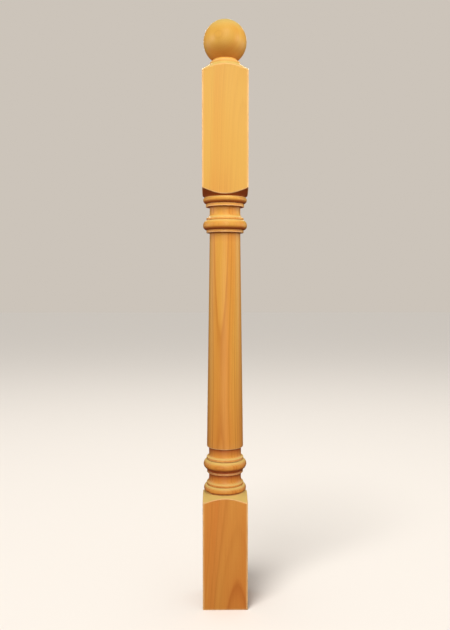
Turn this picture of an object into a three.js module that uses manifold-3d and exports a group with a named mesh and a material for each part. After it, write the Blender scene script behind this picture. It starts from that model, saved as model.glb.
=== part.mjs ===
// A turned newel post for a staircase, cut on a lathe from one square stick of hardwood.
// From the foot up: a square block, a collar of beads and coves, a tapered round shaft,
// a second collar, a second square block where the handrail joins, a short neck and a ball.
// Millimetres, +Z up, with the origin at the middle of the foot.

import * as THREE from 'three';
import { mergeVertices } from 'three/addons/utils/BufferGeometryUtils.js';
import Module from 'manifold-3d';

// The square stock and its slightly eased long edges
const stockWidth = 88.9;
const arrisRadius = 1.1;

// The two square blocks, measured along their long edges, and the lathe-cut shoulders that
// end them, in degrees up from level
const lowerBlockHeight = 212.5;
const lowerShoulderAngle = 29.5;
const upperBlockHeight = 220;
const underShoulderAngle = 32.6;
const topShoulderAngle = 33.4;

// Lower collar, from the lower block up to the shaft
const baseBeadLowerHeight = 5.7;
const baseBeadUpperHeight = 7.9;
const baseBeadDiameter = 84.8;
const baseLipHeight = 4.2;
const baseCoveHeight = 9;
const baseNeckHeight = 9.1;
const baseNeckFlareHeight = 2.2;
const ringHeight = 3.6;
const ringDiameter = 72.4;
const ringGrooveHeight = 3.4;
const ringGrooveDiameter = 68.6;
const torusHeight = 19.2;
const torusDiameter = 86;
const torusLipHeight = 5;
const torusCoveHeight = 6.4;
const shaftNeckHeight = 13.5;
const lowerLipDiameter = 73.8;
const lowerNeckDiameter = 64.4;

// Tapered shaft
const shaftLength = 423.4;
const shaftFootDiameter = 72.6;
const shaftTopDiameter = 60.6;
const shaftFootRounding = 2.2;
const shaftTopFlareHeight = 3.6;
const shaftTopFlareReach = 2.2;

// Upper collar, from the shaft up to the upper block
const collarFilletHeight = 5.4;
const ovoloLowerHeight = 8.2;
const ovoloUpperHeight = 10.8;
const ovoloDiameter = 87;
const ovoloLipHeight = 4.6;
const upperCoveHeight = 8.8;
const upperNeckHeight = 8.8;
const upperNeckFlareHeight = 4;
const upperLipDiameter = 73.6;
const upperNeckDiameter = 60.4;
const astragalHeight = 6.2;
const astragalDiameter = 75.6;
const capBeadLowerHeight = 7.4;
const capBeadUpperHeight = 6;
const capBeadDiameter = 86.2;

// Neck and ball on top
const ballFilletHeight = 4;
const ballFilletDiameter = 59.4;
const ballCoveHeight = 5.4;
const ballNeckDiameter = 47.6;
const ballDiameter = 84.6;

// A quirk is the small groove that sets off a bead from its neighbours
const quirkDepth = 0.9;

// How far a neck widens again just under the ring or shoulder above it
const neckFlareReach = 1.4;

// Facets
const sides = 48;
const mouldingStep = 30;
const ballStep = 14;
const arrisSegments = 2;

const halfDiagonal = stockWidth / Math.SQRT2;
// The cutting profile stands clear of the stock where the stick stays square
const clearOfStock = halfDiagonal * 1.06;

const slope = (degrees) => Math.tan(THREE.MathUtils.degToRad(degrees));

// The profile that the lathe cuts, drawn upwards as points of radius and height
class Profile {
  constructor() {
    this.points = [new THREE.Vector2(0, 0)];
  }

  get end() {
    return this.points[this.points.length - 1];
  }

  to(radius, height) {
    this.points.push(new THREE.Vector2(radius, height));
    return this;
  }

  // Straight up
  rise(height) {
    return this.to(this.end.x, this.end.y + height);
  }

  // Level, in or out
  step(diameter) {
    return this.to(diameter / 2, this.end.y);
  }

  // Part of an ellipse about a centre, between two angles in degrees from level. Its first
  // point is where the profile already ends.
  arc(centreRadius, centreHeight, reach, tall, from, to, facetAngle = mouldingStep) {
    const facets = Math.ceil(Math.abs(to - from) / facetAngle);
    for (let i = 1; i <= facets; i++) {
      const angle = THREE.MathUtils.degToRad(from + ((to - from) * i) / facets);
      this.to(centreRadius + reach * Math.cos(angle), centreHeight + tall * Math.sin(angle));
    }
    return this;
  }

  // A bead between two grooves, fullest where its lower and upper parts meet
  bead(lowerHeight, upperHeight, diameter, stopAngle = 90) {
    const { x, y } = this.end;
    const reach = diameter / 2 - x;
    this.arc(x, y + lowerHeight, reach, lowerHeight, -90, 0);
    return this.arc(x, y + lowerHeight, reach, upperHeight, 0, stopAngle);
  }

  // A hollow that sweeps in from a lip to an upright neck, on one arc of a circle
  cove(height, neckDiameter) {
    const { x, y } = this.end;
    const reach = x - neckDiameter / 2;
    const turn = 2 * Math.atan2(reach, height);
    const radius = height / Math.sin(turn);
    const sweep = THREE.MathUtils.radToDeg(turn);
    return this.arc(neckDiameter / 2 + radius, y + height, -radius, radius, -sweep, 0);
  }

  // An upright neck widening a little at its top, as the upper end of a hollow does
  flare(height, reach) {
    const { x, y } = this.end;
    return this.arc(x + reach, y, -reach, height, 0, 90);
  }

  // Out of the groove over a bead and up the face of a lip
  lip(height, diameter) {
    this.to(diameter / 2, this.end.y + quirkDepth);
    return this.rise(height - quirkDepth);
  }
}

function lowerCollar(profile) {
  const groove = lowerLipDiameter / 2 - quirkDepth;
  const shoulderRise = slope(lowerShoulderAngle);
  profile.to(clearOfStock, 0);
  profile.to(clearOfStock, lowerBlockHeight - (clearOfStock - halfDiagonal) * shoulderRise);
  profile.to(groove, lowerBlockHeight + (halfDiagonal - groove) * shoulderRise);
  profile.bead(baseBeadLowerHeight, baseBeadUpperHeight, baseBeadDiameter);
  profile.lip(baseLipHeight, lowerLipDiameter);
  profile.cove(baseCoveHeight, lowerNeckDiameter);
  profile.rise(baseNeckHeight);
  profile.flare(baseNeckFlareHeight, neckFlareReach);
  profile.step(ringDiameter);
  profile.rise(ringHeight);
  profile.step(ringGrooveDiameter);
  profile.rise(ringGrooveHeight);
  profile.bead(torusHeight / 2, torusHeight / 2, torusDiameter);
  profile.lip(torusLipHeight, lowerLipDiameter);
  profile.cove(torusCoveHeight, lowerNeckDiameter);
  profile.rise(shaftNeckHeight);
}

function shaft(profile) {
  const foot = profile.end.y;
  const flat = shaftFootDiameter / 2 - shaftFootRounding;
  profile.to(flat, foot);
  profile.arc(flat, foot + shaftFootRounding, shaftFootRounding, shaftFootRounding, -90, 0);
  profile.to(shaftTopDiameter / 2, foot + shaftLength);
  profile.flare(shaftTopFlareHeight, shaftTopFlareReach);
}

function upperCollar(profile) {
  const groove = upperLipDiameter / 2 - quirkDepth;
  profile.step(upperLipDiameter);
  profile.rise(collarFilletHeight - quirkDepth);
  profile.to(groove, profile.end.y + quirkDepth);
  profile.bead(ovoloLowerHeight, ovoloUpperHeight, ovoloDiameter);
  profile.lip(ovoloLipHeight, upperLipDiameter);
  profile.cove(upperCoveHeight, upperNeckDiameter);
  profile.rise(upperNeckHeight);
  profile.flare(upperNeckFlareHeight, neckFlareReach);
  profile.step(astragalDiameter);
  // The astragal is square below and a quarter round above
  const { x, y } = profile.end;
  profile.rise(astragalHeight / 2);
  profile.arc(groove, y + astragalHeight / 2, x - groove, astragalHeight / 2, 0, 90);
  // This bead runs up under the block's shoulder, which cuts it off before its own top
  profile.bead(capBeadLowerHeight, capBeadUpperHeight, capBeadDiameter, 60);
}

function upperBlock(profile) {
  const { x, y } = profile.end;
  const underRise = slope(underShoulderAngle);
  const topRise = slope(topShoulderAngle);
  const neckRadius = ballFilletDiameter / 2;
  const lowerCorner = y + (halfDiagonal - x) * underRise;
  const upperCorner = lowerCorner + upperBlockHeight;
  profile.to(clearOfStock, y + (clearOfStock - x) * underRise);
  profile.to(clearOfStock, upperCorner - (clearOfStock - halfDiagonal) * topRise);
  profile.to(neckRadius, upperCorner + (halfDiagonal - neckRadius) * topRise);
}

function ballAndNeck(profile) {
  profile.rise(ballFilletHeight);
  profile.cove(ballCoveHeight, ballNeckDiameter);
  const radius = ballDiameter / 2;
  const seatAngle = THREE.MathUtils.radToDeg(Math.acos(ballNeckDiameter / ballDiameter));
  const centre = profile.end.y + radius * Math.sin(THREE.MathUtils.degToRad(seatAngle));
  profile.arc(0, centre, radius, radius, -seatAngle, 90, ballStep);
}

function turnedProfile() {
  const profile = new Profile();
  lowerCollar(profile);
  shaft(profile);
  upperCollar(profile);
  upperBlock(profile);
  ballAndNeck(profile);
  return profile.points;
}

function turning(points) {
  const geometry = new THREE.LatheGeometry(points, sides);
  geometry.rotateX(Math.PI / 2);
  return geometry;
}

// The square stick with its eased long edges, standing on the foot
function squareStick(height) {
  const flat = stockWidth / 2 - arrisRadius;
  const outline = new THREE.Shape();
  outline.absarc(flat, flat, arrisRadius, 0, Math.PI / 2);
  outline.absarc(-flat, flat, arrisRadius, Math.PI / 2, Math.PI);
  outline.absarc(-flat, -flat, arrisRadius, Math.PI, Math.PI * 1.5);
  outline.absarc(flat, -flat, arrisRadius, Math.PI * 1.5, Math.PI * 2);
  return new THREE.ExtrudeGeometry(outline, {
    depth: height,
    bevelEnabled: false,
    curveSegments: arrisSegments,
  });
}

// A closed solid from a closed geometry, without its seams and collapsed triangles
function toSolid(wasm, geometry) {
  geometry.deleteAttribute('normal');
  geometry.deleteAttribute('uv');
  const merged = mergeVertices(geometry);
  const index = merged.index.array;
  const triangles = [];
  for (let i = 0; i < index.length; i += 3) {
    const [a, b, c] = index.slice(i, i + 3);
    if (a !== b && b !== c && c !== a) triangles.push(a, b, c);
  }
  return new wasm.Manifold(new wasm.Mesh({
    numProp: 3,
    vertProperties: new Float32Array(merged.attributes.position.array),
    triVerts: new Uint32Array(triangles),
  }));
}

function toGeometry(solid) {
  const { vertProperties, triVerts } = solid.getMesh();
  const geometry = new THREE.BufferGeometry();
  geometry.setAttribute('position', new THREE.BufferAttribute(vertProperties, 3));
  geometry.setIndex(new THREE.BufferAttribute(triVerts, 1));
  geometry.computeVertexNormals();
  return geometry;
}

const wasm = await Module();
wasm.setup();

const profilePoints = turnedProfile();
const postHeight = profilePoints[profilePoints.length - 1].y;
const turned = toSolid(wasm, turning(profilePoints));
const stick = toSolid(wasm, squareStick(postHeight * 1.01));
const post = new THREE.Mesh(
  toGeometry(turned.intersect(stick)),
  new THREE.MeshStandardMaterial({ color: 0xd9a35c, roughness: 0.5, metalness: 0 }),
);
post.name = 'newel_post';

const newel = new THREE.Group();
newel.add(post);

export default newel;
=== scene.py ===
import math

import bpy
from bpy.props import FloatProperty, FloatVectorProperty, IntProperty, PointerProperty
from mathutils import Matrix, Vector


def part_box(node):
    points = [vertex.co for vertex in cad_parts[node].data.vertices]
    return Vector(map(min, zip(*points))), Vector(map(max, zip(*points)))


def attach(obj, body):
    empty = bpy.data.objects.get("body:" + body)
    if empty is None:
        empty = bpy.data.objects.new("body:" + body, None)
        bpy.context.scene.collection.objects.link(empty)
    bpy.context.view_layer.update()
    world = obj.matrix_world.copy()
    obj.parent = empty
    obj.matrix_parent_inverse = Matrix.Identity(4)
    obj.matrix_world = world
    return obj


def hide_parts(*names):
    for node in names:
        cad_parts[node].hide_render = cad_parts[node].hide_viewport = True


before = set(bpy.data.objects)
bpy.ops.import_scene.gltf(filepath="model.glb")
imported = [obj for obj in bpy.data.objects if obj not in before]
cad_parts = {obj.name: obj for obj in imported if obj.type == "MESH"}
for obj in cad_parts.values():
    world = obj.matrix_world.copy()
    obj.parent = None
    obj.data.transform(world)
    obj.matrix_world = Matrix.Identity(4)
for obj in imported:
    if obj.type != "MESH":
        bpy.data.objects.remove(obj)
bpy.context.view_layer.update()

bl_info = {
    "name": "Turned newel post",
    "version": (1, 0, 0),
    "blender": (4, 5, 0),
    "location": "3D View > Sidebar > Newel post",
    "description": "Turns a hardwood newel post on a square stick and sets it on a studio floor",
    "category": "Object",
}

NODE = "newel_post"
TURNED_POST = "turned_newel_post"
MM = 0.001
LOWEST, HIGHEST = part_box(NODE)
STOCK_WIDTH = HIGHEST[0] - LOWEST[0]
POST_HEIGHT = HIGHEST[2] - LOWEST[2]


def length(name, description, millimetres):
    return FloatProperty(
        name=name, description=description, default=millimetres * MM, min=0, unit="LENGTH", precision=5
    )


def angle(name, description, degrees):
    return FloatProperty(name=name, description=description, default=math.radians(degrees), subtype="ANGLE")


def share(name, description, value):
    return FloatProperty(name=name, description=description, default=value, min=0, max=1, subtype="FACTOR")


def amount(name, description, value):
    return FloatProperty(name=name, description=description, default=value)


def count(name, description, value):
    return IntProperty(name=name, description=description, default=value, min=1)


def colour(name, description, red, green, blue):
    return FloatVectorProperty(
        name=name, description=description, default=(red, green, blue), size=3, min=0, max=1, subtype="COLOR"
    )


class NewelSizes(bpy.types.PropertyGroup):
    """The sizes that the turner works to"""

    stock_width: length("Stock width", "Width of the square stick", STOCK_WIDTH / MM)
    arris: length("Arris radius", "Easing of the stick's long edges", 1.1)
    sharp_edge: length("Sharp edge easing", "Easing of the turned and cut edges", 0.5)
    quirk_depth: length("Quirk depth", "Depth of the small grooves that set off the beads", 0.9)
    neck_flare: length("Neck flare", "How far a neck widens under the ring above it", 1.4)

    lower_block: length("Lower block", "Height of the lower block's corners", 212.5)
    lower_shoulder: angle("Lower shoulder", "Slope of the lower block's shoulder", 29.5)
    upper_block: length("Upper block", "Height of the upper block's corners", 220)
    under_shoulder: angle("Under shoulder", "Slope of the shoulder under the upper block", 32.6)
    top_shoulder: angle("Top shoulder", "Slope of the shoulder on the upper block", 33.4)

    base_bead_lower: length("Base bead, lower part", "From its groove to its fullest line", 5.7)
    base_bead_upper: length("Base bead, upper part", "From its fullest line to its groove", 7.9)
    base_bead: length("Base bead", "Diameter of the bead on the lower block", 84.8)
    base_lip: length("Base lip", "Height of the lip on the base bead", 4.2)
    base_cove: length("Base cove", "Height of the sweep above the base lip", 9)
    base_neck: length("Base neck", "Height of the straight neck above it", 9.1)
    base_flare: length("Base flare", "Height of the flare under the ring", 2.2)
    ring: length("Ring", "Diameter of the thin ring", 72.4)
    ring_height: length("Ring height", "Height of the thin ring", 3.6)
    ring_groove: length("Ring groove", "Diameter of the groove over the ring", 68.6)
    ring_groove_height: length("Ring groove height", "Height of that groove", 3.4)
    torus: length("Torus", "Diameter of the large bead under the shaft", 86)
    torus_height: length("Torus height", "Height of that bead", 19.2)
    torus_lip: length("Torus lip", "Height of the lip on the torus", 5)
    torus_cove: length("Torus cove", "Height of the sweep above that lip", 6.4)
    shaft_neck: length("Shaft neck", "Height of the neck under the shaft", 13.5)
    lower_lip: length("Lower lips", "Diameter of the lips in the lower collar", 73.8)
    lower_neck: length("Lower necks", "Diameter of the necks in the lower collar", 64.4)

    shaft_height: length("Shaft length", "Length of the tapered shaft", 423.4)
    shaft_foot: length("Shaft foot", "Diameter of the shaft at its foot", 72.6)
    shaft_top: length("Shaft top", "Diameter of the shaft at its top", 60.6)
    shaft_rounding: length("Shaft rounding", "Radius of the edge at the shaft's foot", 2.2)
    shaft_flare: length("Shaft flare", "Height of the sweep at the shaft's top", 3.6)
    shaft_flare_reach: length("Shaft flare reach", "How far that sweep goes out", 2.2)

    collar_fillet: length("Collar fillet", "Height of the fillet on the shaft", 5.4)
    ovolo_lower: length("Ovolo, lower part", "From its groove to its fullest line", 8.2)
    ovolo_upper: length("Ovolo, upper part", "From its fullest line to its groove", 10.8)
    ovolo: length("Ovolo", "Diameter of the large bead over the shaft", 87)
    ovolo_lip: length("Ovolo lip", "Height of the lip on the ovolo", 4.6)
    upper_cove: length("Upper cove", "Height of the sweep above that lip", 8.8)
    upper_neck_height: length("Upper neck height", "Height of the straight neck above it", 8.8)
    upper_flare: length("Upper flare", "Height of the flare under the astragal", 4)
    upper_lip: length("Upper lips", "Diameter of the lips in the upper collar", 73.6)
    upper_neck: length("Upper neck", "Diameter of the neck in the upper collar", 60.4)
    astragal: length("Astragal", "Diameter of the small ring", 75.6)
    astragal_height: length("Astragal height", "Height of the small ring", 6.2)
    cap_bead_lower: length("Cap bead, lower part", "From its groove to its fullest line", 7.4)
    cap_bead_upper: length("Cap bead, upper part", "From its fullest line up", 6)
    cap_bead: length("Cap bead", "Diameter of the bead under the upper block", 86.2)

    ball_fillet_height: length("Ball fillet height", "Height of the fillet under the ball", 4)
    ball_fillet: length("Ball fillet", "Diameter of the fillet under the ball", 59.4)
    ball_cove: length("Ball cove", "Height of the sweep under the ball", 5.4)
    ball_neck: length("Ball neck", "Diameter where the ball sits", 47.6)
    ball: length("Ball", "Diameter of the ball", 84.6)

    flat_columns: count("Flat columns", "Columns over half a face, from its middle to its edge", 20)
    corner_columns: count("Corner columns", "Columns round half an eased edge", 2)


class NewelWood(bpy.types.PropertyGroup):
    """The wood and its finish"""

    early_wood: colour("Early wood", "The wood between the ring lines", 0.75, 0.322, 0.046)
    late_wood: colour("Late wood", "The darker ring lines", 0.52, 0.163, 0.016)
    pale_wood: colour("Pale wood", "Broad paler streaks", 0.78, 0.445, 0.075)
    ruddy_wood: colour("Ruddy wood", "Broad redder streaks", 0.72, 0.265, 0.04)
    # Painted light: faces that turn up are painted paler and yellower, as if lit from above
    upward_painted_light: colour("Upward wood", "Wood that faces up, under a thinner finish", 0.84, 0.61, 0.18)
    # Partly the wood's own drift in tone and partly painted shade: the wood is darker and redder towards the
    # foot
    foot_tone_and_shade: colour("Foot tone", "What the wood's colour is multiplied by at the foot", 1.0, 0.77, 0.78)
    # Painted shade on faces that turn down, in grooves and under overhangs, along with finish gathered in
    # the quirks
    settled_finish_and_shade: colour("Settled finish", "Finish gathered in the quirks", 0.33, 0.028, 0.006)
    # Partly worn edges and partly a painted highlight along the edges
    worn_edge_and_highlight: colour("Worn edge", "Edges where the finish is thin", 0.96, 0.56, 0.225)
    heart_x: length("Heart to the right", "The tree's heart at the foot, right of the stick's middle", 23.5)
    heart_y: length("Heart behind", "The tree's heart at the foot, behind the stick's middle", 95)
    sway: length("Sway", "How far the heart sways to and fro up the stick", 1.12)
    first_ring: length("First ring", "Distance of one ring line from the heart", 140)
    ring_width: length("Ring width", "Wood that the tree put on in one early year", 3.1)
    roughness: share("Roughness", "Roughness of the satin finish", 0.5)
    coat: share("Coat", "Weight of the clear coat", 0.06)


class NewelStudio(bpy.types.PropertyGroup):
    """The floor, lights and camera"""

    floor: colour("Floor", "Colour of the plain floor", 0.80, 0.74, 0.67)
    floor_power: amount("Floor light", "Strength of the even light on the floor", 2.6)
    wash_power: amount("Floor wash", "Power of the soft light over the floor, in watts", 60)
    backdrop: colour("Backdrop", "What the camera sees above the floor", 0.604, 0.551, 0.49)
    far_power: amount("Far light", "Power of the main light, high in front, in watts", 6.6)
    front_power: amount("Front light", "Power of the light in front, in watts", 3.3)
    low_fill_power: amount("Low fill", "Power of the fill low in front, in watts", 3.1)
    ball_power: amount("Ball lights", "Power of each light beside the ball, in watts", 0.8)
    side_power: amount("Side lights", "Power of each light beside and behind, in watts", 2.1)
    back_power: amount("Back light", "Power of the light high behind, in watts", 5.6)
    sky: amount("Sky", "Strength of the even light all round", 0.055)
    camera_distance: length("Camera distance", "From the camera to the post's axis", 1320.7)
    camera_height: length("Camera height", "Height of the camera above the floor", 650.9)
    camera_azimuth: angle("Camera azimuth", "How far the camera stands round to the right", -0.73)
    camera_pitch: angle("Camera pitch", "How far the camera looks down", 3.02)


class Row:
    """One row of the post's surface, from which every column takes its radius and height.

    A turned row has its own radius. Swell goes from 0, that radius, to 1, the square stick's
    surface. Slant is the rise for each unit of radius inside the stick's corner, as on a shoulder.
    Inset draws the row in. Flat, arris and quirk, from 0 to 1, mark planed faces, worn edges that
    also carry a painted highlight, and gathered finish with painted shade.
    """

    def __init__(self, radius, height, swell=0.0, slant=0.0, inset=0.0, flat=0.0, arris=0.0, quirk=0.0):
        self.radius = radius
        self.height = height
        self.swell = swell
        self.slant = slant
        self.inset = inset
        self.flat = flat
        self.arris = arris
        self.quirk = quirk


ROW_VALUES = ("swell", "slant", "inset", "flat", "arris", "quirk")
BLOCK_STEPS = 14
CROWDING = 1.5  # Over 1, it draws a face's columns together towards the stick's edges
QUARTER = math.pi / 2
FINE_TURN = math.radians(9)
BALL_TURN = math.radians(4)


class Outline:
    """The line that the gouge follows between two shoulders, as points of radius and height."""

    def __init__(self, radius, height):
        self.points = [Vector((radius, height))]

    @property
    def end(self):
        return self.points[-1]

    def to(self, radius, height):
        self.points.append(Vector((radius, height)))

    def rise(self, height):
        self.to(self.end.x, self.end.y + height)

    def step(self, diameter):
        self.to(diameter / 2, self.end.y)

    def arc(self, centre, reach, tall, start, stop, turn=FINE_TURN):
        """Part of an ellipse, from where the outline already ends"""
        facets = math.ceil(abs(stop - start) / turn)
        for i in range(1, facets + 1):
            at = start + (stop - start) * i / facets
            self.to(centre[0] + reach * math.cos(at), centre[1] + tall * math.sin(at))

    def bead(self, lower, upper, diameter, stop=QUARTER):
        radius, height = self.end
        reach = diameter / 2 - radius
        self.arc((radius, height + lower), reach, lower, -QUARTER, 0)
        self.arc((radius, height + lower), reach, upper, 0, stop)

    def cove(self, height, diameter):
        radius, foot = self.end
        turn = 2 * math.atan2(radius - diameter / 2, height)
        sweep = height / math.sin(turn)
        self.arc((diameter / 2 + sweep, foot + height), -sweep, sweep, -turn, 0)

    def flare(self, height, reach):
        radius, foot = self.end
        self.arc((radius + reach, foot), -reach, height, 0, QUARTER)

    def lip(self, height, diameter, quirk):
        self.to(diameter / 2, self.end.y + quirk)
        self.rise(height - quirk)


def lower_collar(outline, s):
    outline.bead(s.base_bead_lower, s.base_bead_upper, s.base_bead)
    outline.lip(s.base_lip, s.lower_lip, s.quirk_depth)
    outline.cove(s.base_cove, s.lower_neck)
    outline.rise(s.base_neck)
    outline.flare(s.base_flare, s.neck_flare)
    outline.step(s.ring)
    outline.rise(s.ring_height)
    outline.step(s.ring_groove)
    outline.rise(s.ring_groove_height)
    outline.bead(s.torus_height / 2, s.torus_height / 2, s.torus)
    outline.lip(s.torus_lip, s.lower_lip, s.quirk_depth)
    outline.cove(s.torus_cove, s.lower_neck)
    outline.rise(s.shaft_neck)


def shaft(outline, s):
    foot = outline.end.y
    flat = s.shaft_foot / 2 - s.shaft_rounding
    outline.to(flat, foot)
    outline.arc((flat, foot + s.shaft_rounding), s.shaft_rounding, s.shaft_rounding, -QUARTER, 0)
    outline.to(s.shaft_top / 2, foot + s.shaft_height)
    outline.flare(s.shaft_flare, s.shaft_flare_reach)


def upper_collar(outline, s):
    groove = s.upper_lip / 2 - s.quirk_depth
    outline.step(s.upper_lip)
    outline.rise(s.collar_fillet - s.quirk_depth)
    outline.to(groove, outline.end.y + s.quirk_depth)
    outline.bead(s.ovolo_lower, s.ovolo_upper, s.ovolo)
    outline.lip(s.ovolo_lip, s.upper_lip, s.quirk_depth)
    outline.cove(s.upper_cove, s.upper_neck)
    outline.rise(s.upper_neck_height)
    outline.flare(s.upper_flare, s.neck_flare)
    outline.step(s.astragal)
    radius, foot = outline.end
    half = s.astragal_height / 2
    outline.rise(half)
    outline.arc((groove, foot + half), radius - groove, half, 0, QUARTER)
    outline.bead(s.cap_bead_lower, s.cap_bead_upper, s.cap_bead, math.radians(60))


def ball_and_neck(outline, s):
    outline.rise(s.ball_fillet_height)
    outline.cove(s.ball_cove, s.ball_neck)
    radius = s.ball / 2
    seat = math.acos(s.ball_neck / s.ball)
    centre = outline.end.y + radius * math.sin(seat)
    outline.arc((0, centre), radius, radius, -seat, QUARTER, BALL_TURN)


def bent(before, corner, after, ease, mark, strength):
    """Rows that take a sharp corner round a small curve, with a holding row on each side"""
    narrow = 8 * MM
    most_of_run = 0.42
    back = before - corner
    on = after - corner

    def holding(side):
        """A row a little way along one side, if that side has room for it"""
        if side.length <= ease * 5:
            return []
        hold = corner + side.normalized() * ease * 2.2
        return [Row(*hold, **{mark: strength * (0.5 if side.length < narrow else 0.2)})]

    start = corner + back.normalized() * min(ease, back.length * most_of_run)
    stop = corner + on.normalized() * min(ease, on.length * most_of_run)
    curve = []
    for t in (0, 1 / 3, 2 / 3, 1):
        point = start * (1 - t) ** 2 + corner * 2 * t * (1 - t) + stop * t ** 2
        curve.append(Row(*point, **{mark: strength}))
    return holding(back) + curve + holding(on)


def turned_rows(points, s, start_quirk, stop_quirk):
    """Rows along a turned outline, its sharp corners eased and its long runs divided"""
    sharp_turn = math.radians(24)
    long_run = 16 * MM
    worn_and_lit_round = 4 * MM
    rows = [Row(*points[0], quirk=start_quirk)]
    for before, corner, after in zip(points, points[1:], points[2:]):
        run = (corner - before).length
        if run > long_run:
            pieces = math.ceil(run / long_run)
            rows += [Row(*before.lerp(corner, i / pieces)) for i in range(1, pieces)]
        turn = (corner - before).angle_signed(after - corner)
        # Sharp outward corners take the worn edge mark, which is also a painted highlight; hollow corners
        # take the quirk mark, which is gathered finish and painted shade
        if abs(turn) < sharp_turn:
            tightness = -turn / run * worn_and_lit_round
            rows.append(Row(*corner, arris=min(1, max(0, tightness - 1))))
        elif turn < 0:
            rows += bent(before, corner, after, s.sharp_edge, "arris", min(1, -turn / QUARTER) ** 3)
        else:
            rows += bent(before, corner, after, s.sharp_edge / 2, "quirk", 0.5)
    rows.append(Row(*points[-1], quirk=stop_quirk))
    return rows


def paint_shade_under_overhangs(rows, reach, most):
    """Mark the turned rows that something above leans out over, for painted shade under the overhang"""
    least_lean = 0.2
    lean_range = 0.75
    for i, row in enumerate(rows):
        over = 0
        for other in rows[i + 1:]:
            rise = other.height - row.height
            if rise > reach:
                break
            over = max(over, (other.radius - row.radius) / (rise + MM))
        shade_and_finish = min(1, max(0, (over - least_lean) / lean_range))
        row.quirk = max(row.quirk, most * shade_and_finish)


def shoulder_rows(s, corner_height, slant, root, upwards, root_quirk):
    """Rows over a lathe-cut shoulder, from the square stick's surface in to the root"""
    ease = s.sharp_edge * 1.4
    rise = 1 if upwards else -1
    rows = [
        Row(root, corner_height - rise * ease * 3, 1, slant, flat=1),
        Row(root, corner_height - rise * ease, 1, slant, flat=1, arris=0.6),
        Row(root, corner_height - rise * ease * 0.3, 1, slant, inset=ease * 0.25, arris=1),
        Row(root, corner_height, 1, slant, inset=ease, arris=0.6),
    ]
    steps = 12
    for i in range(1, steps + 1):
        swell = 1 - i / steps
        # Under the upper block the shoulder is darkened by painted shade; each shoulder's root has painted
        # shade and gathered finish
        shade_and_finish = root_quirk if i == steps else 0 if upwards else 0.5
        rows.append(Row(root, corner_height, swell, slant, inset=ease * swell, quirk=shade_and_finish))
    return rows if upwards else rows[::-1]


def block_rows(low, high):
    """Rows up a square block's faces, between the rows that end it"""
    rows = []
    for i in range(1, BLOCK_STEPS):
        at = i / BLOCK_STEPS
        height = low.height + (high.height - low.height) * at
        slant = low.slant + (high.slant - low.slant) * at
        rows.append(Row(high.radius, height, 1, slant, flat=1))
    return rows


def foot_rows(s):
    ease = s.sharp_edge
    return [
        Row(0, 0),
        Row(0, 0, 1, inset=ease * 3),
        Row(0, 0, 1, inset=ease, arris=0.6),
        Row(0, ease * 0.3, 1, inset=ease * 0.3, arris=1),
        Row(0, ease, 1, flat=1, arris=0.6),
        Row(0, ease * 3, 1, flat=1, arris=0.6),
        Row(0, ease * 6, 1, flat=1),
    ]


def post_rows(s):
    """Every row of the post, from the middle of its foot to the top of its ball"""
    corner = s.stock_width / math.sqrt(2)
    lower_rise = math.tan(s.lower_shoulder)
    under_rise = math.tan(s.under_shoulder)
    top_rise = math.tan(s.top_shoulder)

    root = s.lower_lip / 2 - s.quirk_depth
    middle = Outline(root, s.lower_block + (corner - root) * lower_rise)
    lower_collar(middle, s)
    shaft(middle, s)
    upper_collar(middle, s)

    under_root, under_height = middle.end
    low_corner = under_height + (corner - under_root) * under_rise
    high_corner = low_corner + s.upper_block
    neck = s.ball_fillet / 2
    top = Outline(neck, high_corner + (corner - neck) * top_rise)
    ball_and_neck(top, s)

    foot = foot_rows(s)
    lower = shoulder_rows(s, s.lower_block, lower_rise, root, True, 1)
    under = shoulder_rows(s, low_corner, -under_rise, under_root, False, 1)
    upper = shoulder_rows(s, high_corner, top_rise, neck, True, 0.15)
    rows = foot + block_rows(foot[-1], lower[0]) + lower
    turned = turned_rows(middle.points, s, 1, 1)[1:-1]
    # The painted shade under overhangs reaches further and darker in the lower collar than in the upper one
    half_way = low_corner / 2
    paint_shade_under_overhangs([row for row in turned if row.height < half_way], 14 * MM, 0.9)
    paint_shade_under_overhangs([row for row in turned if row.height >= half_way], 6 * MM, 0.3)
    rows += turned
    rows += under + block_rows(under[-1], upper[0]) + upper
    rows += turned_rows(top.points, s, 0, 0)[1:]
    return rows


class Link:
    """A node's output in an expression, where each sign adds a Math node"""

    def __init__(self, maker, socket):
        self.maker = maker
        self.socket = socket

    def math(self, operation, *values):
        return self.maker.node("ShaderNodeMath", {"operation": operation}, dict(enumerate(values)))

    def __add__(self, other):
        return self.math("ADD", self, other)

    def __sub__(self, other):
        return self.math("SUBTRACT", self, other)

    def __rsub__(self, other):
        return self.math("SUBTRACT", other, self)

    def __mul__(self, other):
        return self.math("MULTIPLY", self, other)

    def __truediv__(self, other):
        return self.math("DIVIDE", self, other)

    def __pow__(self, other):
        return self.math("POWER", self, other)

    def __gt__(self, other):
        return self.math("GREATER_THAN", self, other)

    __radd__ = __add__
    __rmul__ = __mul__

    def floor(self):
        return self.math("FLOOR", self)

    def fraction(self):
        return self.math("FRACT", self)

    def size(self):
        return self.math("ABSOLUTE", self)

    def root(self):
        return self.math("SQRT", self)

    def cosine(self):
        return self.math("COSINE", self)

    def sine(self):
        return self.math("SINE", self)

    def at_most(self, other):
        return self.math("MINIMUM", self, other)

    def at_least(self, other):
        return self.math("MAXIMUM", self, other)

    def between(self, low, high):
        """0 below low, 1 above high and a soft step between"""
        values = {"Value": self, "From Min": low, "From Max": high}
        return self.maker.node("ShaderNodeMapRange", {"interpolation_type": "SMOOTHSTEP"}, values)

    def toward(self, other, part):
        return self + (other - self) * part


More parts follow.
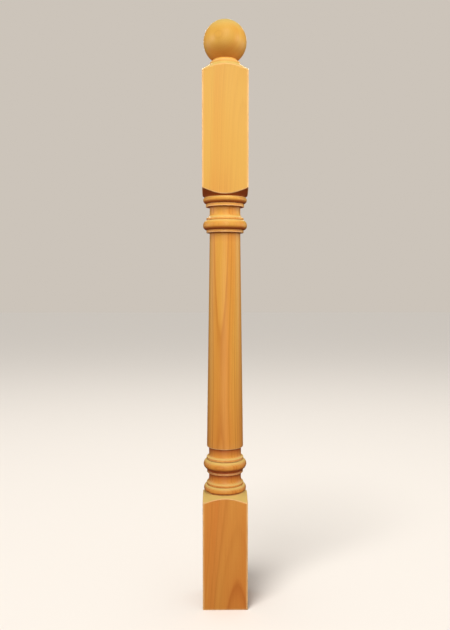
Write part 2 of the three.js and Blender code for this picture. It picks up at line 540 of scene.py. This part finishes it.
class Maker:
    """Adds nodes to one tree and joins them"""

    def __init__(self, tree):
        self.tree = tree

    def end(self, kind, values, settings=None):
        """A node, its settings made before its sockets are filled"""
        node = self.tree.nodes.new(kind)
        for name, value in (settings or {}).items():
            setattr(node, name, value)
        for key, value in values.items():
            if isinstance(value, Link):
                self.tree.links.new(value.socket, node.inputs[key])
            else:
                node.inputs[key].default_value = value
        return node

    def node(self, kind, settings=None, values=None, output=0):
        return Link(self, self.end(kind, values or {}, settings).outputs[output])

    def ramp(self, value, stops):
        link = self.node("ShaderNodeValToRGB", values={0: value})
        ramp = link.socket.node.color_ramp
        while len(ramp.elements) < len(stops):
            ramp.elements.new(1)
        for element, (position, level) in zip(ramp.elements, stops):
            element.position = position
            element.color = (level, level, level, 1)
        return link

    def outputs(self, kind, values, *names):
        node = self.end(kind, values)
        return [Link(self, node.outputs[name]) for name in names]

    def vector(self, x, y, z):
        return self.node("ShaderNodeCombineXYZ", values={0: x, 1: y, 2: z})

    def blend(self, part, first, second, kind="MIX"):
        settings = {"data_type": "RGBA", "blend_type": kind}
        return self.node("ShaderNodeMix", settings, {0: part, 6: first, 7: second}, 2)

    def noise(self, place, detail, roughness=0.5):
        values = {"Vector": place, "Scale": 1, "Detail": detail, "Roughness": roughness}
        return self.node("ShaderNodeTexNoise", values=values)


def turning_tree():
    """The node tree that wraps rows round a square stick"""
    tree = bpy.data.node_groups.new("turn_on_square_stick", "GeometryNodeTree")
    tree.is_modifier = True
    interface = tree.interface
    interface.new_socket("Geometry", in_out="OUTPUT", socket_type="NodeSocketGeometry")
    for name, kind in (
        ("Rows", "Geometry"),
        ("Stock Width", "Float"),
        ("Arris Radius", "Float"),
        ("Flat Columns", "Int"),
        ("Corner Columns", "Int"),
        ("Crowding", "Float"),
        ("Wood", "Material"),
    ):
        interface.new_socket(name, in_out="INPUT", socket_type="NodeSocket" + kind)
    make = Maker(tree)
    names = [item.name for item in interface.items_tree if item.in_out == "INPUT"]
    rows, width, arris, flats, corners, crowding, wood = make.outputs("NodeGroupInput", {}, *names)

    quadrant_columns = (flats + corners) * 2
    columns = quadrant_columns * 4 + 1
    mesh_only = {"component": "MESH"}
    row_count = make.node("GeometryNodeAttributeDomainSize", mesh_only, {"Geometry": rows}, "Point Count")
    grid_size = {"Vertices X": row_count, "Vertices Y": columns}
    grid = make.node("GeometryNodeMeshGrid", values=grid_size, output="Mesh")
    index = make.node("GeometryNodeInputIndex")
    row = (index / columns).floor()
    column = index - row * columns

    quadrant = (column / quadrant_columns).floor()
    in_quadrant = column - quadrant * quadrant_columns
    half = flats + corners
    folded = half - (half - in_quadrant).size()
    reach = width / 2
    bend_centre = reach - arris
    tangent = make.node("ShaderNodeMath", {"operation": "ARCTAN2"}, {0: bend_centre, 1: reach})
    flat_part = folded.at_most(flats) / flats
    corner_part = (folded - flats).at_least(0) / corners
    local = tangent * (1 - (1 - flat_part) ** crowding) + (math.pi / 4 - tangent) * corner_part
    past_half = in_quadrant > half
    turn = quadrant * QUARTER + local.toward(QUARTER - local, past_half)

    along = (local.cosine() + local.sine()) * bend_centre
    round_reach = along + (along * along - bend_centre * bend_centre * 2 + arris * arris).root()
    on_corner = folded > (flats + 0.5)
    stick_reach = (reach / local.cosine()).toward(round_reach, on_corner)

    def sampled(kind, value):
        settings = {"data_type": kind, "domain": "POINT"}
        values = {"Geometry": rows, "Value": value, "Index": row}
        return make.node("GeometryNodeSampleIndex", settings, values)

    def of_row(name):
        named = make.node("GeometryNodeInputNamedAttribute", {"data_type": "FLOAT"}, {"Name": name})
        return sampled("FLOAT", named)

    place = sampled("FLOAT_VECTOR", make.node("GeometryNodeInputPosition"))
    row_radius, _, row_height = make.outputs("ShaderNodeSeparateXYZ", {0: place}, "X", "Y", "Z")
    swell, slant, inset, flat, row_worn_and_lit_edge, quirk = (of_row(name) for name in ROW_VALUES)
    radius = row_radius.toward(stick_reach, swell) - inset
    corner_reach = reach * math.sqrt(2)
    height = row_height + slant * (corner_reach - radius)
    at = make.vector(radius * turn.cosine(), radius * turn.sine(), height)

    mesh = make.node("GeometryNodeSetPosition", values={"Geometry": grid, "Position": at})
    # The block's corners take the worn edge mark, which also carries a painted highlight
    worn_and_lit_columns = 3
    near_corner = folded.between(flats - worn_and_lit_columns, flats)
    square = swell > 0.9
    worn_and_lit_edge = row_worn_and_lit_edge.at_least(near_corner * square)
    for name, value in (("flat", flat), ("arris", worn_and_lit_edge), ("quirk", quirk)):
        settings = {"data_type": "FLOAT", "domain": "POINT"}
        values = {"Geometry": mesh, "Name": name, "Value": value}
        mesh = make.node("GeometryNodeStoreNamedAttribute", settings, values)
    mesh = make.node("GeometryNodeFlipFaces", values={"Mesh": mesh})
    seam = 0.002 * MM
    mesh = make.node("GeometryNodeMergeByDistance", values={"Geometry": mesh, "Distance": seam})
    mesh = make.node("GeometryNodeSetShadeSmooth", values={"Geometry": mesh, "Shade Smooth": True})
    mesh = make.node("GeometryNodeRealizeInstances", values={"Geometry": mesh})
    mesh = make.node("GeometryNodeSetMaterial", values={"Geometry": mesh, "Material": wood})
    make.end("NodeGroupOutput", {0: mesh})
    return tree


def row_line(rows):
    """The rows as loose points, with their values, for the turning tree to read"""
    mesh = bpy.data.meshes.new("turning_rows")
    mesh.from_pydata([(row.radius, 0, row.height) for row in rows], [], [])
    for name in ROW_VALUES:
        values = mesh.attributes.new(name, "FLOAT", "POINT")
        values.data.foreach_set("value", [float(getattr(row, name)) for row in rows])
    return mesh


def rgb(value):
    return (*value, 1)


def grained(make, place, across, along, detail, roughness=0.5):
    """Noise drawn out along the stick, its sizes across and along the grain in millimetres"""
    x, y, z = place
    return make.noise(make.vector(x / across, y / across, z / along), detail, roughness)


def year_rings(make, w, place):
    """The year in which the wood at each place grew, about a heart that leans and sways up the tree"""
    x, y, z = place
    lean_right = 0.011
    lean_back = 0.016
    sway_start = 63
    sway_rate = 0.01132
    sway = ((z - sway_start) * sway_rate).sine() * (w.sway / MM)
    from_x = x - w.heart_x / MM - z * lean_right
    from_y = y - w.heart_y / MM - z * lean_back - sway
    ripple = grained(make, place, 30, 160, 2) - 0.5
    tremor = grained(make, place, 6, 50, 1) - 0.5
    heart_distance = (from_x * from_x + from_y * from_y).root() + ripple * 0.7 + tremor * 0.3

    first_year = 40.85
    slow_growth_from = 148
    slowing = 0.15
    years = (heart_distance - w.first_ring / MM) / (w.ring_width / MM) + first_year
    return years + (heart_distance - slow_growth_from).at_least(0) * slowing


def ring_lines(make, years, place):
    """The late wood that ends each year, stronger in some years and places"""
    late_stops = ((0, 0.06), (0.3, 0), (0.6, 0.22), (0.8, 0.85), (0.86, 1), (0.93, 0.5), (1, 0.06))
    late = make.ramp(years.fraction(), late_stops)
    strong_year = ((years.floor() - 39.5) * 2.2).cosine() * 0.5 + 0.5
    patch = grained(make, place, 40, 170, 1).between(0.3, 0.75)
    fading = 1.2 - years.between(41, 43) * 0.57
    line = late * (0.16 + strong_year * 0.46) * (0.7 + patch * 0.3) * fading

    # The outer years show a fainter second line between the main ones
    outer = years.between(43.5, 47.5)
    second = make.ramp((years * 2 + 0.1).fraction(), late_stops)
    return line.at_least(second * outer * (0.6 + patch * 0.4) * 0.28)


def grain_colour(make, w, place, years, line, fibre, pores):
    """Bare wood, with its streaks, strands, ring lines, fibres and pores"""
    x, _, z = place
    streak = make.noise(make.vector(years * 0.31, x / 90, z / 600), 2).between(0.34, 0.66)
    first_ruddy_year = 36
    ruddy_years = 16
    ruddy_stops = ((0, 0.3), (0.26, 0.75), (0.305, 0.9), (0.32, 0.1), (0.39, 0), (0.43, 0.75), (0.52, 0.7),
                   (0.58, 0), (0.7, 0.3), (0.85, 0.3), (0.95, 0))
    ruddy = make.ramp((years - first_ruddy_year) / ruddy_years, ruddy_stops)
    strand = grained(make, place, 1.7, 80, 2) - 0.5

    wood = make.blend(streak * 0.6, rgb(w.early_wood), rgb(w.pale_wood))
    wood = make.blend(ruddy * 0.45, wood, rgb(w.ruddy_wood))
    wood = make.blend(strand.at_least(0) * 0.7, wood, rgb(w.late_wood))
    wood = make.blend((0 - strand).at_least(0) * 0.7, wood, rgb(w.pale_wood))
    wood = make.blend(line, wood, rgb(w.late_wood))
    wood = make.blend((fibre - 0.5).size() * 0.5, wood, rgb(w.late_wood))
    return make.blend(pores * 0.28, wood, rgb(w.late_wood))


def tones(make, w, wood, height, facing_up):
    """The drift in tone up the stick, darker at the foot and paler on the top block, partly painted shade
    and light; painted light on faces that turn up and painted shade on faces that turn down
    """
    # Darker and redder towards the foot, paler on the top block: partly the wood's own drift in tone, partly
    # painted shade and painted light
    foot = 1 - height.between(140, 620)
    wood = make.blend(foot, wood, rgb(w.foot_tone_and_shade), "MULTIPLY")
    top_block_tone_and_light = height.between(770, 900)
    wood = make.blend(top_block_tone_and_light * 0.45, wood, rgb(w.pale_wood))
    # Painted light: faces that turn up take the paler, yellower upward colour, as if lit from above
    wood = make.blend(facing_up.between(0.25, 0.95) * 0.85, wood, rgb(w.upward_painted_light))

    # Painted shade on faces that turn down, lighter under the ball than under the mouldings
    on_ball = height.between(1060, 1090)
    shade_and_finish = 0.72 - on_ball * 0.36
    return make.blend((0 - facing_up).between(0.05, 0.7) * shade_and_finish, wood, rgb(w.settled_finish_and_shade))


def honey_hardwood(w):
    """Light hardwood under a thin satin finish, its rings about a heart behind the stick"""
    material = bpy.data.materials.new("honey_hardwood")
    material.use_nodes = True
    material.node_tree.nodes.clear()
    make = Maker(material.node_tree)

    def marked(name):
        return make.node("ShaderNodeAttribute", {"attribute_name": name}, output="Fac")

    position = make.node("ShaderNodeTexCoord", output="Object")
    axes = make.outputs("ShaderNodeSeparateXYZ", {0: position}, "X", "Y", "Z")
    place = [axis / MM for axis in axes]
    height = place[2]
    normal = make.node("ShaderNodeTexCoord", output="Normal")
    (facing_up,) = make.outputs("ShaderNodeSeparateXYZ", {0: normal}, "Z")
    flat = marked("flat")
    arris = marked("arris")
    quirk = marked("quirk")

    years = year_rings(make, w, place)
    line = ring_lines(make, years, place)
    fibre = grained(make, place, 0.55, 16, 3, 0.65)
    fine_fibre = grained(make, place, 0.16, 5, 2, 0.6)
    pores = grained(make, place, 0.32, 4.2, 1).between(0.66, 0.76)

    wood = grain_colour(make, w, place, years, line, fibre, pores)
    wood = tones(make, w, wood, height, facing_up)
    rub = grained(make, place, 7, 30, 2).between(0.3, 0.7)
    # Worn edges, paler, which also carry a painted highlight
    wood = make.blend(arris * (0.65 + rub * 0.35), wood, rgb(w.worn_edge_and_highlight))
    # Painted shade in the grooves and under overhangs, with the finish gathered there
    wood = make.blend(quirk * 0.84, wood, rgb(w.settled_finish_and_shade))

    lathe_lines = make.noise(make.vector(0.5, 0.5, height / 0.45), 2) * (1 - flat)
    sanding = grained(make, place, 0.25, 40, 1) * flat
    relief = fibre * 0.5 + fine_fibre * 0.25 - pores * 0.5 - line * 0.35 + lathe_lines * 0.6 + sanding * 0.4
    relief_depth = 0.06 * MM
    bump = make.node("ShaderNodeBump", values={"Strength": 0.35, "Distance": relief_depth, "Height": relief})
    end_grain = facing_up.size().between(0.45, 1.0)
    smear = grained(make, place, 35, 90, 3)
    roughness = w.roughness + (smear - 0.5) * 0.16 + pores * 0.15 + end_grain * 0.12 - arris * 0.06

    shader = make.node("ShaderNodeBsdfPrincipled", values={
        "Base Color": wood,
        "Roughness": roughness,
        "Normal": bump,
        "Coat Weight": w.coat,
        "Coat Roughness": 0.28,
        "IOR": 1.47,
        "Specular IOR Level": 0.22,
    })
    make.end("ShaderNodeOutputMaterial", {"Surface": shader})
    return material


def floor_finish(tint):
    material = bpy.data.materials.new("plain_floor")
    material.use_nodes = True
    shader = material.node_tree.nodes["Principled BSDF"]
    shader.inputs["Base Color"].default_value = (*tint, 1)
    shader.inputs["Roughness"].default_value = 0.9
    shader.inputs["Specular IOR Level"].default_value = 0.1
    return material


class NEWEL_OT_turn_post(bpy.types.Operator):
    """Turn the whole post, square blocks, collars, shaft and ball, from one stick"""

    bl_idname = "newel.turn_post"
    bl_label = "Turn the post"

    def execute(self, context):
        sizes = context.scene.newel_sizes
        rows = post_rows(sizes)
        if abs(rows[-1].height - POST_HEIGHT) > MM:
            raise RuntimeError(f"the rows reach {rows[-1].height:.4f} m, not {POST_HEIGHT:.4f} m")
        blank = bpy.data.objects.new("turning_blank", row_line(rows))
        context.scene.collection.objects.link(blank)
        tree = turning_tree()
        modifier = blank.modifiers.new("Turning", "NODES")
        modifier.node_group = tree
        settings = {
            "Stock Width": sizes.stock_width,
            "Arris Radius": sizes.arris,
            "Flat Columns": sizes.flat_columns,
            "Corner Columns": sizes.corner_columns,
            "Crowding": CROWDING,
            "Wood": honey_hardwood(context.scene.newel_wood),
        }
        for item in tree.interface.items_tree:
            if item.in_out == "INPUT" and item.name in settings:
                modifier[item.identifier] = settings[item.name]
        context.view_layer.update()
        turned = blank.evaluated_get(context.evaluated_depsgraph_get())
        mesh = bpy.data.meshes.new_from_object(turned)
        mesh.name = TURNED_POST
        bpy.data.objects.remove(blank)
        post = bpy.data.objects.new(TURNED_POST, mesh)
        context.scene.collection.objects.link(post)
        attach(post, "root")
        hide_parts(NODE)
        return {"FINISHED"}


def hang(scene, name, light, place, aim, lit):
    """A light that shines only on the things in one collection, and that the camera can't see"""
    lamp = bpy.data.objects.new(name, light)
    lamp.location = place
    lamp.rotation_euler = (Vector(aim) - Vector(place)).to_track_quat("-Z", "Y").to_euler()
    lamp.visible_camera = False
    lamp.light_linking.receiver_collection = lit
    scene.collection.objects.link(lamp)


def soft_box(name, width, height, power, spread):
    light = bpy.data.lights.new(name, "AREA")
    light.shape = "RECTANGLE"
    light.size = width
    light.size_y = height
    light.energy = power
    light.spread = math.radians(spread)
    return light


def studio_sky(strength, backdrop):
    """Dim light from all round, which the camera sees as a plain backdrop"""
    world = bpy.data.worlds.new("studio")
    world.use_nodes = True
    world.node_tree.nodes.clear()
    make = Maker(world.node_tree)
    seen = make.node("ShaderNodeLightPath", output="Is Camera Ray")
    light = make.node("ShaderNodeBackground", values={"Color": (1, 1, 1, 1), "Strength": strength})
    plain = make.node("ShaderNodeBackground", values={"Color": (*backdrop, 1), "Strength": 1.0})
    sky = make.node("ShaderNodeMixShader", values={0: seen, 1: light, 2: plain})
    make.end("ShaderNodeOutputWorld", {"Surface": sky})
    return world


class NEWEL_OT_set_stage(bpy.types.Operator):
    """Lay the floor, hang the lights and set up the camera"""

    bl_idname = "newel.set_stage"
    bl_label = "Set the stage"

    def execute(self, context):
        scene = context.scene
        studio = scene.newel_studio
        floor_reach = 12
        corners = [(x * floor_reach, y * floor_reach, 0) for x, y in ((-1, -1), (1, -1), (1, 1), (-1, 1))]
        mesh = bpy.data.meshes.new("floor")
        mesh.from_pydata(corners, [], [(0, 1, 2, 3)])
        mesh.materials.append(floor_finish(studio.floor))
        floor = bpy.data.objects.new("floor", mesh)
        scene.collection.objects.link(floor)
        # The floor throws no light back up at the post
        floor.visible_diffuse = False
        floor.visible_glossy = False

        ground = bpy.data.collections.new("lit_ground")
        ground.objects.link(floor)
        sun = bpy.data.lights.new("floor_light", "SUN")
        sun.energy = studio.floor_power
        sun.angle = math.radians(25)
        hang(scene, "floor_light", sun, (-0.8, -1.6, 3.2), (0, 0, 0), ground)
        wash = soft_box("floor_wash", 5, 5, studio.wash_power, 160)
        hang(scene, "floor_wash", wash, (0, -0.3, 2.6), (0, -0.3, 0), ground)

        scene.world = studio_sky(studio.sky, studio.backdrop)
        post = bpy.data.collections.new("lit_post")
        post.objects.link(scene.objects[TURNED_POST])
        # Name, place, height aimed at, width, height, watts, and spread in degrees
        boxes = [
            ("far", (0.4, -2.6, 3.3), 0.6, 1.6, 0.8, studio.far_power, 60),
            ("front", (0.2, -2.6, 1.9), 0.7, 1.4, 0.6, studio.front_power, 60),
            ("low_fill", (-0.2, -2.2, 0.5), 0.3, 1.6, 0.8, studio.low_fill_power, 60),
            ("back", (0, 2.6, 2.2), 0.6, 1.6, 0.8, studio.back_power, 60),
        ]
        for side, name in ((-1, "left"), (1, "right")):
            boxes += [
                (name + "_ball", (side * 1.3, -0.5, 1.35), 1.1, 0.5, 0.5, studio.ball_power, 50),
                (name + "_side", (side * 2.2, 0.6, 0.9), 0.5, 1.2, 1.2, studio.side_power, 60),
            ]
        for name, place, aim_height, width, height, power, spread in boxes:
            light = soft_box(name, width, height, power, spread)
            hang(scene, name, light, place, (0, 0, aim_height), post)

        camera = bpy.data.cameras.new("camera")
        camera.sensor_width = 36
        focal_pixels = 662.7
        photo_height = 630
        camera.lens = focal_pixels / photo_height * camera.sensor_width
        viewer = bpy.data.objects.new("camera", camera)
        azimuth = studio.camera_azimuth
        viewer.location = (
            studio.camera_distance * math.sin(azimuth),
            -studio.camera_distance * math.cos(azimuth),
            studio.camera_height,
        )
        viewer.rotation_euler = (QUARTER - studio.camera_pitch, 0, azimuth)
        scene.collection.objects.link(viewer)
        scene.camera = viewer
        scene.view_settings.view_transform = "Standard"
        return {"FINISHED"}


class NEWEL_PT_post(bpy.types.Panel):
    """Everything that makes the post, in the order that it is made"""

    bl_idname = "NEWEL_PT_post"
    bl_label = "Newel post"
    bl_space_type = "VIEW_3D"
    bl_region_type = "UI"
    bl_category = "Newel post"

    def draw(self, context):
        layout = self.layout
        for operator in OPERATORS:
            layout.operator(operator.bl_idname)
        for group in (context.scene.newel_sizes, context.scene.newel_wood, context.scene.newel_studio):
            box = layout.box()
            for name in group.bl_rna.properties.keys():
                if name not in ("rna_type", "name"):
                    box.prop(group, name)


OPERATORS = (NEWEL_OT_turn_post, NEWEL_OT_set_stage)
CLASSES = (NewelSizes, NewelWood, NewelStudio, *OPERATORS, NEWEL_PT_post)


def register():
    for each in CLASSES:
        bpy.utils.register_class(each)
    bpy.types.Scene.newel_sizes = PointerProperty(type=NewelSizes)
    bpy.types.Scene.newel_wood = PointerProperty(type=NewelWood)
    bpy.types.Scene.newel_studio = PointerProperty(type=NewelStudio)


def unregister():
    del bpy.types.Scene.newel_studio
    del bpy.types.Scene.newel_wood
    del bpy.types.Scene.newel_sizes
    for each in reversed(CLASSES):
        bpy.utils.unregister_class(each)


def main():
    register()
    bpy.ops.newel.turn_post()
    bpy.ops.newel.set_stage()


if __name__ == "__main__":
    main()
